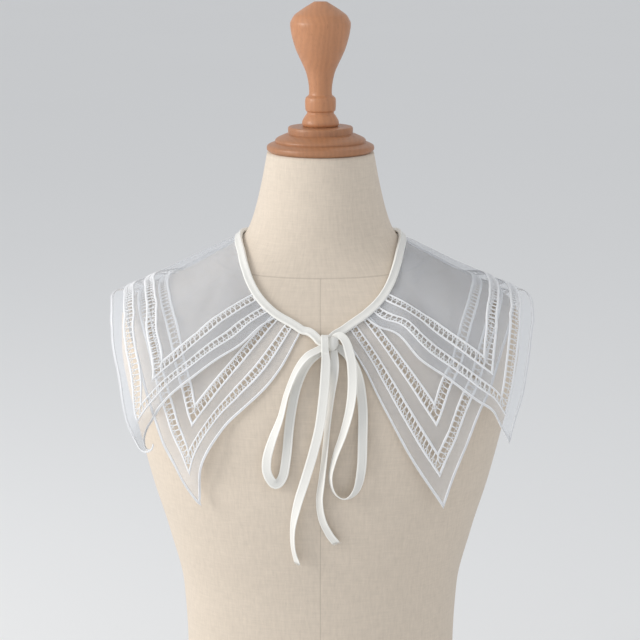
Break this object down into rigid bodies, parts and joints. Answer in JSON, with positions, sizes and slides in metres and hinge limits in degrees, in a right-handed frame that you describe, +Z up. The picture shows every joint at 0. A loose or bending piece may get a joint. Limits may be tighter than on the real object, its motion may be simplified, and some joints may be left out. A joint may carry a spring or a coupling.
{
  "type": "detachable collar on a dress form",
  "caption": "Sheer layered shoulder collar with openwork bands and a ribbon bow at the throat, worn by a limbless padded dress form with a turned wooden neck knob.",
  "frame": {"origin": "centre of the dress form's flat base, on the surface it stands on", "axes": "+Z up the form's height, -Y the front with the bow, +X the viewer's right"},
  "size_m": [0.4052, 0.2457, 0.7998],
  "materials": {
    "sheer_organza": "sheer crisp plain-weave organza",
    "white_lace": "drawn-thread openwork and satin stitch in white thread",
    "ivory_tape": "folded satin bias tape with a soft sheen",
    "linen": "matt unbleached linen over padding",
    "turned_wood": "turned and waxed wood"
  },
  "bodies": {
    "root": {"lower_panel": "sheer_organza", "upper_panel": "sheer_organza", "lower_lace_outer": "white_lace", "lower_lace_inner": "white_lace", "upper_lace_outer": "white_lace", "upper_lace_inner": "white_lace", "lower_edging": "white_lace", "upper_edging": "white_lace", "neck_binding": "ivory_tape", "bow_knot": "ivory_tape", "bow_loop_left": "ivory_tape", "bow_loop_right": "ivory_tape", "bow_tail_long": "ivory_tape", "bow_tail_short": "ivory_tape", "form_torso": "linen", "form_cap": "turned_wood", "form_finial": "turned_wood"}
  },
  "joints": []
}
